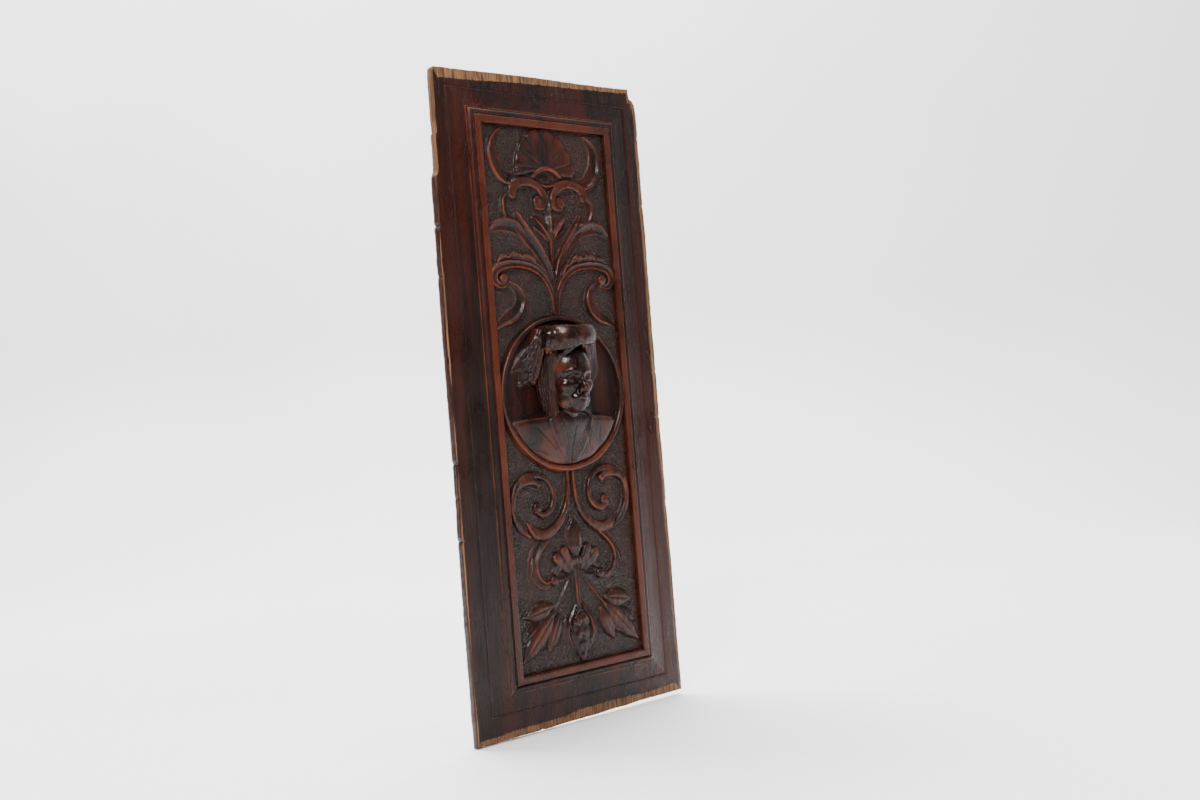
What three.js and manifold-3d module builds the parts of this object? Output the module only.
// Carved wall panel: one board, fielded and moulded around a sunk field of Renaissance ornament,
// with a bust in high relief inside a ring. Millimetres. X runs across, +Z is up, the flat back
// lies on Y = 0 and the carving faces -Y. Heights are measured forwards from the flat back.
import * as THREE from "three";
import { mergeVertices } from "three/addons/utils/BufferGeometryUtils.js";
import Module from "manifold-3d";

const wasm = await Module();
wasm.setup();

// ---- Driving dimensions ----
const BOARD = { halfX: 135, halfZ: 305, edge: 7.5 }; // the blank before its outline is trimmed
const FILLET = { halfX: 77, halfZ: 250, width: 6.5, height: 16 };
const LINE = { halfX: 101.8, halfZ: 273.1, height: 9.55 }; // the fine ridge around the slope
const MOULDING = { width: 5.6, height: 14.7, slopeTop: 13 };
const GROUND = 11.2; // the punched ground of the sunk field
const SINK = 1.4; // how far carving is rooted below the ground
const AXIS = -1.2; // the ornament's own middle, a little left of the board's
const RING = { x: -0.5, z: 1.5, outer: 70.8, inner: 65.2, height: 16.2, sides: 48 };
const DISH = { middle: 7.4, edge: 11.4 };
const SHELL = { x: -2, z: 204.5, rx: 33.5, rz: 38.5, height: 4.6, groove: 1.3 };
const GROOVES = [-6, 14, 39, 66, 97, 127, 152, 178, 190]; // directions between lobes, in degrees
const HEAD = { x: -0.5, chin: -17.5, tall: 64, axis: 21.5, columns: 22 };
const CAP = { bottom: 43.5, top: 60.5, halfX: 25, halfY: 24 };
const BUST = { left: -23, right: -25, neck: -13, edge: 13.2, swell: 9 };

// The trimmed outline as x, z, anticlockwise from the bottom left, with the broken top right corner.
const OUTLINE = [
  [-118.6, -296.7], [-30, -295.4], [60, -293.4], [122.4, -292.2], [122, -170], [121.2, -20],
  [121.6, 140], [121.4, 272], [120.2, 279], [117.4, 283], [113.6, 284], [113.2, 293.6],
  [50, 293], [-20, 292.4], [-80, 291], [-111, 290.4], [-113.4, 288], [-114.2, 240],
  [-115.4, 199], [-117.9, 193], [-118.8, 90], [-118.2, -60], [-119, -180],
];

// ---- Making solids ----
const at = (x, z, height) => new THREE.Vector3(x, -height, z);

function solidOf(geometry) {
  const plain = geometry.index ? geometry.toNonIndexed() : geometry.clone();
  for (const name of ["normal", "uv"]) plain.deleteAttribute(name);
  const merged = mergeVertices(plain, 1e-4);
  const vertProperties = new Float32Array(merged.attributes.position.array);
  const triVerts = new Uint32Array(merged.index.array);
  const made = new wasm.Manifold(new wasm.Mesh({ numProp: 3, vertProperties, triVerts }));
  if (made.volume() > 0) return made;
  for (let i = 0; i < triVerts.length; i += 3)
    [triVerts[i + 1], triVerts[i + 2]] = [triVerts[i + 2], triVerts[i + 1]];
  return new wasm.Manifold(new wasm.Mesh({ numProp: 3, vertProperties, triVerts }));
}

// A closed skin over loops of equal length, each end closed by a fan about its own middle.
function skin(loops) {
  const size = loops[0].length;
  const points = loops.flat();
  const middle = (loop) =>
    loop.reduce((sum, p) => sum.add(p), new THREE.Vector3()).divideScalar(size);
  const first = points.push(middle(loops[0])) - 1;
  const last = points.push(middle(loops.at(-1))) - 1;
  const faces = [];
  for (let i = 0; i < size; i++) {
    const j = (i + 1) % size;
    const end = (loops.length - 1) * size;
    faces.push(first, j, i, last, end + i, end + j);
    for (let k = 0; k < loops.length - 1; k++) {
      const [a, b] = [k * size, (k + 1) * size];
      faces.push(a + i, a + j, b + j, a + i, b + j, b + i);
    }
  }
  const geometry = new THREE.BufferGeometry().setFromPoints(points);
  geometry.setIndex(faces);
  return solidOf(geometry);
}

// A list of numbers read along 0 to 1 in a straight line from each to the next.
function ramp(list, t) {
  const place = Math.min(Math.max(t, 0), 1) * (list.length - 1);
  const i = Math.min(Math.floor(place), list.length - 2);
  return list[i] + (list[i + 1] - list[i]) * (place - i);
}

const union = (solids) => wasm.Manifold.union(solids);
const mirrored = (solid) => solid.mirror([1, 0, 0]);
const pair = (...solids) => solids.flatMap((solid) => [solid, mirrored(solid)]);

// ---- Carved elements, their heights counted from the ground ----
// Sections as [place across from -1 to 1, share of the height].
const ROUND = [[-1, 0.35], [-0.45, 1], [0.45, 1], [1, 0.35]];
const KEEL = [[-1, 0.25], [0, 1], [1, 0.25]];
const OUTER = [[-1, 0.25], [0.65, 1], [1, 0.35]]; // hollow leaf, its crest on the right of travel
const INNER = OUTER.map(([s, k]) => [-s, k]).reverse();

// A ribbon or leaf along a path of [x, z], with its widths and heights read along it.
function ribbon(path, widths, heights, section = ROUND, perSpan = 1.1, base = GROUND) {
  const curve = new THREE.CatmullRomCurve3(
    path.map(([x, z]) => at(x, z, 0)), false, "centripetal");
  const steps = Math.round((path.length - 1) * perSpan);
  const loops = [];
  for (let i = 0; i <= steps; i++) {
    const t = i / steps;
    const p = curve.getPoint(t);
    const along = curve.getTangent(t);
    const across = new THREE.Vector3(along.z, 0, -along.x).normalize();
    const half = ramp(widths, t) / 2;
    const spot = (s, height) =>
      at(p.x + across.x * half * s, p.z + across.z * half * s, base + height);
    const top = section.map(([s, k]) => spot(s, ramp(heights, t) * k));
    loops.push([spot(-1, -SINK), ...top, spot(1, -SINK)]);
  }
  return skin(loops);
}

// A straight leaf from its root, at an angle in degrees.
function leaf(x, z, angle, length, width, height, section = KEEL, base = GROUND) {
  const [c, s] = [Math.cos(angle * Math.PI / 180), Math.sin(angle * Math.PI / 180)];
  const path = [0, 0.25, 0.5, 0.75, 1].map((d) => [x + c * length * d, z + s * length * d]);
  return ribbon(path, [0.34, 0.92, 1, 0.82, 0.2].map((w) => w * width),
    [0.75, 1, 1, 0.9, 0.5].map((h) => h * height), section, 1, base);
}

// A domed knob, as at the heart of a scroll.
function knob(x, z, radius, height, squash = 1, base = GROUND) {
  const ring = (r, h) => Array.from({ length: 6 }, (_, i) => {
    const a = (i * Math.PI) / 3;
    return at(x + radius * r * Math.cos(a), z + radius * r * squash * Math.sin(a), base + h);
  });
  return skin([ring(1, -SINK), ring(1, height * 0.5), ring(0.6, height)]);
}

// ---- The board ----
// Nested rectangles as half width, half height and height from the back.
function fielded() {
  const { halfX: fx, halfZ: fz } = FILLET;
  const steps = [
    [BOARD.halfX, BOARD.halfZ, 0],
    [BOARD.halfX, BOARD.halfZ, BOARD.edge - 0.9],
    [LINE.halfX + 0.7, LINE.halfZ + 0.7, LINE.height - 0.7],
    [LINE.halfX + 0.1, LINE.halfZ + 0.1, LINE.height],
    [LINE.halfX - 0.8, LINE.halfZ - 0.8, LINE.height - 0.25],
    [fx + MOULDING.width + 0.7, fz + MOULDING.width + 0.7, MOULDING.slopeTop],
    [fx + MOULDING.width, fz + MOULDING.width, MOULDING.slopeTop + 0.8],
    [fx + MOULDING.width - 1.6, fz + MOULDING.width - 1.6, MOULDING.height - 0.2],
    [fx + 2, fz + 2, MOULDING.height - 0.1],
    [fx + 0.7, fz + 0.7, MOULDING.height - 0.9],
    [fx + 0.35, fz + 0.35, FILLET.height - 0.3],
    [fx - 0.3, fz - 0.3, FILLET.height],
  ];
  const corner = [[-1, -1], [1, -1], [1, 1], [-1, 1]];
  const board = skin(steps.map(([hx, hz, h]) => corner.map(([sx, sz]) => at(sx * hx, sz * hz, h))));
  const outline = new THREE.Shape(OUTLINE.map(([x, z]) => new THREE.Vector2(x, z)));
  const trim = new THREE.ExtrudeGeometry(outline, { depth: 60, bevelEnabled: false });
  trim.rotateX(Math.PI / 2).translate(0, 1, 0);
  const [ix, iz] = [fx - FILLET.width, fz - FILLET.width];
  const field = skin([[ix - 0.7, iz - 0.7, GROUND], [ix, iz, FILLET.height + 1]].map(
    ([hx, hz, h]) => corner.map(([sx, sz]) => at(sx * hx, sz * hz, h))));
  return board.intersect(solidOf(trim)).subtract(field);
}

// ---- The ring and its dished ground ----
function turned(profile, sides) {
  const loops = profile.map(([r, h]) => Array.from({ length: sides }, (_, i) => {
    const a = (i / sides) * Math.PI * 2;
    return at(RING.x + r * Math.cos(a), RING.z + r * Math.sin(a), h);
  }));
  return skin(loops);
}

function ring() {
  const { outer, height: top, sides } = RING;
  return turned([[outer + 0.2, GROUND - SINK], [outer, top - 1.1], [outer - 1, top]], sides)
    .subtract(dish());
}

function dish() {
  const r = RING.inner;
  return turned([
    [r * 0.7, DISH.middle], [r - 0.4, DISH.edge],
    [r, RING.height - 2.6], [r + 0.7, RING.height - 0.8], [r + 1.9, RING.height],
    [r + 2.1, RING.height + 1],
  ], RING.sides);
}

// ---- The shell: lobes fan out from a hinge, with a valley between each two ----
function shell() {
  // each lobe runs from the foot of one groove over two shoulders to the foot of the next
  const columns = GROOVES.flatMap((from, i) => {
    const next = GROOVES[i + 1] - from;
    return [[from, 0], ...(next > 0 ? [[from + next * 0.22, 1], [from + next * 0.78, 1]] : [])];
  });
  const row = (share) => columns.map(([angle, full]) => {
    const a = angle * Math.PI / 180;
    const r = share * (0.96 + 0.04 * full);
    const height = SHELL.height * (0.6 + 0.4 * share) * (share > 0.97 ? 0.7 : 1);
    return at(SHELL.x + SHELL.rx * r * Math.cos(a), SHELL.z + SHELL.rz * r * Math.sin(a),
      GROUND + height - SHELL.groove * (1 - full));
  });
  const shares = [0.1, 0.93, 1];
  const rows = shares.map(row);
  const floor = shares.map((share) => row(share).map((p) => p.setY(-(GROUND - SINK))));
  return skin(rows[0].map((_, i) =>
    [...rows.map((r) => r[i]), ...floor.map((r) => r[i]).reverse()]));
}

// ---- Ornament on the right half, mirrored to the left ----
function upperHalf() {
  return [
    // horn of leaf beside the shell, its tip curling in, with a spur outside
    ribbon([[2, 192], [15, 196.5], [30, 195.6], [42, 194.4], [51, 198.5], [57, 208], [59, 219],
      [56, 231], [48, 240]], [5, 6, 7, 9, 11, 11, 9, 6, 1.2], [4, 4.4, 4.6, 5, 5, 4.8, 4.4, 4, 2.6],
      OUTER),
    leaf(61, 210, 78, 13, 4.5, 4),
    // scroll under the horn
    ribbon([[41, 181], [39.5, 187.5], [32, 192.5], [20, 193], [10, 188], [5, 179], [7, 171.5],
      [14, 170.5]], [6.5, 7.2, 7, 6.4, 5.6, 5, 4.6, 4], [4.6, 5, 5, 5, 4.8, 4.8, 4.6, 4.2]),
    knob(40, 182.5, 3.9, 5),
    knob(12.5, 175.5, 5.4, 5.2, 1.1),
    // slip of leaf hanging from the scroll
    ribbon([[44, 183], [48.5, 176], [49, 167], [46, 158]], [3, 6.5, 5.5, 1.2], [3, 3.6, 3.2, 2],
      INNER),
    // tulip petals
    ribbon([[1.5, 144], [6.5, 153], [12, 158.5], [18.5, 162.5]], [5, 7, 6.6, 1.4],
      [4.6, 5, 4.8, 3], OUTER),
    ribbon([[1.5, 140], [7, 146.5], [12.5, 150.5], [17, 154]], [3, 5, 4.6, 1.2], [2.6, 3, 2.8, 1.6],
      OUTER),
    // long leaf of the V and the branch that curls over outside it
    ribbon([[2.5, 106], [7, 119], [15, 131], [25, 143], [33, 153.5], [36, 163]],
      [3, 6, 8, 9, 9.5, 4.5], [4.2, 4.8, 5, 5, 5, 3.8], ROUND),
    ribbon([[30, 146], [39, 152], [50, 154.4], [60, 152.5], [69, 147]], [6, 8, 8, 6, 1.4],
      [2.6, 4.2, 4.4, 3.8, 2.4], OUTER),
    // scroll of acanthus: stem, curled end and heart
    ribbon([[2, 76], [3.6, 92], [11, 106], [23, 115], [38, 118.4], [53, 118], [64.5, 113.5],
      [67.5, 105], [62, 99.5], [55.5, 100]], [3, 4, 5, 5.6, 6, 6.6, 7, 6.2, 5, 3.6],
      [3.6, 4, 4.4, 4.8, 5, 5, 5, 4.8, 4.6, 4], ROUND),
    knob(56.5, 105.5, 5, 5.2, 0.9),
    // frilled crest of leaf along the outside of that scroll
    ribbon([[12, 110], [19, 117], [25, 120], [32, 124.4], [38, 124.6], [45, 125.6], [51, 123.4],
      [58, 123], [66, 117.5]], [4, 9, 6, 12, 7.5, 11, 7, 10, 5],
      [3.8, 4.8, 3.8, 5, 4, 5, 4, 4.8, 4], OUTER, 1),
    // leaf hanging beside the ring
    ribbon([[50, 102], [42, 96], [39.5, 87], [43.5, 77.5], [52, 71], [61, 66.5], [69, 60.5]],
      [3, 6, 8, 11, 12, 8, 1.4], [3.6, 4.4, 4.8, 5, 4.8, 4, 2.6], OUTER),
  ];
}

function lowerHalf() {
  return [
    // band from the ring's foot, turned up in a leaf tip
    ribbon([[3, -68], [4.4, -90], [10, -106], [20, -117.5], [32, -123.4], [43, -121.4],
      [51, -112]], [2, 3.8, 5.6, 7, 8.4, 8.4, 2.6], [4, 4.6, 4.8, 5, 5, 4.8, 3], ROUND),
    // full scroll: up the outside, over the top and round to its heart
    ribbon([[49, -124], [59, -115], [65, -102], [65, -88], [59, -76.5], [47, -70.5], [34, -71],
      [24, -78], [20.6, -90], [24.5, -101], [33.5, -105.5], [41, -102]],
      [2, 6, 5.4, 5, 6, 6.4, 4.6, 4.2, 4.6, 5, 5, 4],
      [2.6, 3.8, 4.6, 4.8, 4.8, 4.4, 3.6, 3.8, 4.4, 4.8, 4.8, 4.4], ROUND),
    knob(39, -99, 4.8, 5),
    ribbon([[61, -81], [54, -76], [45, -74.6], [36.5, -78]], [3, 6, 6.6, 5], [4, 5, 5, 4.6]),
    knob(37, -78.5, 2.9, 4.8),
    // bracket under the scroll, with a pointed leaf outside and a knob at its end
    ribbon([[24, -121.5], [34, -128.5], [44, -138], [48.6, -149.5], [45.4, -161], [37, -168.4],
      [28, -166.5]], [4, 7, 8.6, 8.6, 6.6, 6, 5.4], [4, 4.8, 5, 5, 4.8, 4.8, 4.6], OUTER),
    leaf(48, -143, -74, 18, 6, 4),
    knob(26.6, -165.4, 4.4, 5),
    // palmette lobes and the arched band under them
    knob(13.4, -140.4, 4.3, 5, 1.1),
    knob(21.6, -146, 4.6, 5, 1.15),
    ribbon([[-2, -147], [10, -147.8], [19, -150.4], [26, -155.5]], [8, 9, 8.6, 5],
      [4.6, 4.6, 4.6, 3.6]),
    // side stem and its leaves
    ribbon([[4, -155], [10, -168], [18, -180], [29, -192.5], [40, -203]], [2, 2.2, 2.6, 3, 4],
      [2.4, 2.6, 2.8, 3.2, 4], KEEL),
    leaf(32, -188, -11, 29, 14.5, 4.8),
    leaf(24.5, -198, -65, 31, 13, 4.8),
    leaf(31, -195, -46, 51, 17, 5),
    leaf(42, -201, -31, 25, 10, 4.2),
    leaf(37, -202, -61, 24, 10, 4.2),
  ];
}

function middle() {
  return [
    // arch and small dome at the shell's hinge
    ribbon([[-16, 198.5], [-9, 204], [0, 206.5], [9, 204.4], [15, 200]], [3, 3.6, 4, 3.6, 3],
      [4, 5, 5.2, 5, 4]),
    knob(-1, 196, 6, 3, 0.55),
    // drop between the scrolls, tulip and its stem
    leaf(0, 176, -90, 15, 7, 4.6),
    leaf(0, 143, 90, 25, 6, 5),
    ribbon([[-1, 116], [-0.6, 130], [0, 148]], [2.4, 3.6, 5], [3.6, 4.2, 4.8]),
    ribbon([[0, 70], [0, 92], [0, 112]], [4.4, 4, 3], [3, 3.4, 3]),
    // palmette leaf, the long stem and the bud it carries
    leaf(0, -146, 90, 33, 17, 4.8),
    ribbon([[-1, -152], [-1.4, -178], [-0.6, -206]], [6, 5, 3.6], [4.4, 4.6, 4.4]),
    leaf(0, -188, -90, 53, 29, 3.6),
    ...[[0, -196, 23, 19, 4.4], [0, -209, 21, 17, 4.8], [0, -222, 18.5, 11.5, 4.6]].map(
      ([x, z, length, width, height]) => leaf(x, z, -90, length, width, height)),
  ];
}

// ---- The bust ----
// Head: level loops around an upright axis; a calm, even face of regular proportions, where
// `share` runs from the chin at 0 to the crown at 1.
const WIDTHS = [6.5, 11.5, 15, 17.4, 19, 20, 20.8, 21.2, 20.6, 17.6, 9];
const FRONTS = [15.5, 19.6, 18.6, 18.8, 20, 20.2, 21.4, 21.8, 20.6, 16.6, 8];
const BACKS = [4, 8, 12, 15, 17, 18, 18, 18, 17, 14, 7];
const bump = (value, place, spread) => Math.exp(-(((value - place) / spread) ** 2));

function faceRelief(share, x) {
  const side = Math.abs(x);
  const bridge = 2.2 + 4.6 * Math.max(0, (0.52 - share) / 0.2);
  const nose = share > 0.3 && share < 0.55 ? Math.min(bridge, 6.8)
    : share <= 0.3 ? 6.4 * bump(share, 0.3, 0.02) : 2.2 * bump(share, 0.55, 0.035);
  return nose * bump(x, 0, 2.2 + 2.2 * bump(share, 0.31, 0.04))
    - 2.8 * bump(share, 0.5, 0.055) * bump(side, 8.4, 5)
    + 1.6 * bump(share, 0.495, 0.03) * bump(side, 8.4, 3.4)
    + 1.3 * bump(share, 0.57, 0.03) * bump(side, 8.5, 6)
    + 1.2 * bump(share, 0.38, 0.07) * bump(side, 12, 4)
    + 1.4 * bump(share, 0.215, 0.018) * bump(x, 0, 6)
    + 1.5 * bump(share, 0.165, 0.02) * bump(x, 0, 5)
    - 1 * bump(share, 0.19, 0.009) * bump(x, 0, 6.5);
}

function head() {
  const shares = [0.005, 0.05, 0.11, 0.16, 0.188, 0.215, 0.26, 0.288, 0.31, 0.37, 0.44, 0.475,
    0.505, 0.54, 0.575, 0.68, 0.84, 0.97];
  return skin(shares.map((share) => Array.from({ length: HEAD.columns }, (_, i) => {
    // columns stand closer together over the face than round the back
    const turn = (i / HEAD.columns) * Math.PI * 2;
    const a = turn - 0.45 * Math.sin(turn);
    const depth = ramp(Math.cos(a) > 0 ? FRONTS : BACKS, share) * Math.cos(a);
    const x = ramp(WIDTHS, share) * Math.sin(a);
    const lift = Math.cos(a) > 0.2 ? faceRelief(share, x) : 0;
    return at(HEAD.x + x, HEAD.chin + HEAD.tall * share, HEAD.axis + depth + lift);
  })));
}

// Level ovals around the head's axis, as [height up, half width, half depth, lean back].
function ovals(levels, count = 18) {
  return skin(levels.map(([z, hx, hy, lean]) => Array.from({ length: count }, (_, i) => {
    const a = (i / count) * Math.PI * 2;
    const height = Math.max(HEAD.axis + hy * Math.cos(a), GROUND - 5);
    return at(HEAD.x + hx * Math.sin(a), z - lean * Math.cos(a), height);
  })));
}

function capAndHair() {
  const { bottom, top, halfX, halfY } = CAP;
  const tuft = (points, thick) => {
    const curve = new THREE.CatmullRomCurve3(points.map((p) => at(...p)));
    return skin(Array.from({ length: 6 }, (_, k) => {
      const [c, r] = [curve.getPoint(k / 5), ramp(thick, k / 5)];
      return Array.from({ length: 6 }, (_, i) => {
        const a = i * Math.PI / 3;
        return new THREE.Vector3(c.x + r * Math.cos(a), c.y + r * Math.sin(a), c.z);
      });
    }));
  };
  return [
    // folded cap: an upright band turned up all round and a flat crown
    ovals([[bottom + 1.6, halfX - 3.4, halfY - 3, 1.2], [bottom, halfX - 1, halfY - 0.8, 1.2],
      [bottom + 3, halfX + 0.2, halfY + 0.2, 1.2], [top - 3, halfX + 0.8, halfY - 0.4, 0.6],
      [top, halfX - 1.4, halfY - 2.6, 0.4], [top + 0.6, halfX - 9, halfY - 10, 0.2]]),
    // hair in locks down to the collar on both sides
    ...pair(
      tuft([[17, 46, 24], [18.6, 28, 20], [18.4, 8, 18], [16.6, -8, 18], [20, -20, 18]],
        [5, 6.2, 6.8, 6.4, 4.4]),
      tuft([[17, 44, 14], [20, 26, 11], [21, 6, 10], [19, -16, 13]], [5, 6.4, 6.8, 5]),
    ),
    // lappets of cloth falling behind the head
    ribbon([[-25, 58], [-28, 46], [-33, 35], [-39, 25], [-42, 13]], [8, 13, 18, 19, 4],
      [15, 13, 10, 8, 4], OUTER, 2, DISH.middle),
    ribbon([[24, 56], [30, 44], [36, 31], [38, 20], [34, 10]], [14, 14, 13, 10, 3],
      [24, 19, 9, 6.4, 3.4], INNER, 2, DISH.middle),
    // fold of the cap over the left temple
    tuft([[-22, 62, 33], [-23.5, 54, 34], [-23.5, 46, 31], [-24, 38, 26]], [2, 3.6, 3.6, 2]),
  ];
}

// Robe: one swelling surface that fills the ring below the shoulders.
function robeHeight(x, z) {
  const drop = (z - RING.z) / RING.inner;
  const edge = Math.min(1, (x - RING.x) ** 2 / RING.inner ** 2 + drop ** 2);
  return BUST.edge + BUST.swell * Math.sqrt(1 - edge) + 3.4 * bump(x, 0, 24) * bump(z, -22, 18);
}

function robe() {
  const across = 14;
  const down = 4;
  const reach = RING.inner + 0.8;
  const columns = Array.from({ length: across + 1 }, (_, i) => {
    const x = RING.x - 58 + (116 * i) / across;
    const slope = x < 0 ? BUST.left : BUST.right;
    const top = slope + (BUST.neck - slope) * bump(x, 0, 26) + 2.4 * bump(Math.abs(x), 44, 16);
    const foot = RING.z - Math.sqrt(reach ** 2 - (x - RING.x) ** 2);
    const line = Array.from({ length: down + 1 }, (_, k) => foot + ((top - foot) * k) / down);
    const front = line.map((z, k) =>
      at(x, z, robeHeight(x, z) - (k === down ? 2.4 : 0)));
    return [...front, at(x, top, DISH.middle - 1), at(x, foot, DISH.middle - 1)];
  });
  const lapel = (points, width) => {
    const lift = points.map(([x, z]) => robeHeight(x, z) + 1.3 - GROUND);
    return ribbon(points, width, lift, [[-1, 0.8], [-0.5, 1], [0.5, 1], [1, 0.8]], 2);
  };
  const neck = ovals([[-35, 9, 0.6, 0], [-25, 12, 4.4, 0], [-16, 11.6, 9, 0], [-4, 12, 10, 0]], 12);
  return [
    skin(columns),
    neck,
    lapel([[-15, -19], [-11, -30], [-4, -43], [0, -58]], [5, 6.4, 6, 3]),
    lapel([[14, -19], [11, -29], [5, -42], [1.6, -58]], [5, 6.4, 6, 3]),
    lapel([[-50, -40], [-34, -46], [-16, -54]], [1.6, 3, 1.4]),
    lapel([[22, -50], [36, -44], [48, -36]], [1.4, 3, 1.6]),
  ];
}

// ---- One carved board ----
const ornament = union([
  ...pair(...upperHalf(), ...lowerHalf()),
  ...middle(),
]).translate([AXIS, 0, 0]);
const board = union([fielded().subtract(dish()), shell(), ornament.subtract(dish()), ring()]);
const panel = union([board, head(), ...capAndHair(), ...robe()]);

const mesh = panel.getMesh();
const geometry = new THREE.BufferGeometry();
geometry.setAttribute("position", new THREE.Float32BufferAttribute(mesh.vertProperties, 3));
geometry.setIndex(new THREE.Uint32BufferAttribute(mesh.triVerts, 1));
geometry.computeVertexNormals();

const oak = new THREE.MeshStandardMaterial({ color: 0x4a2c24, roughness: 0.5, metalness: 0 });
const carvedPanel = new THREE.Mesh(geometry, oak);
carvedPanel.name = "carved_panel";

const group = new THREE.Group();
group.name = "carved_wall_panel";
group.add(carvedPanel);

export default group;
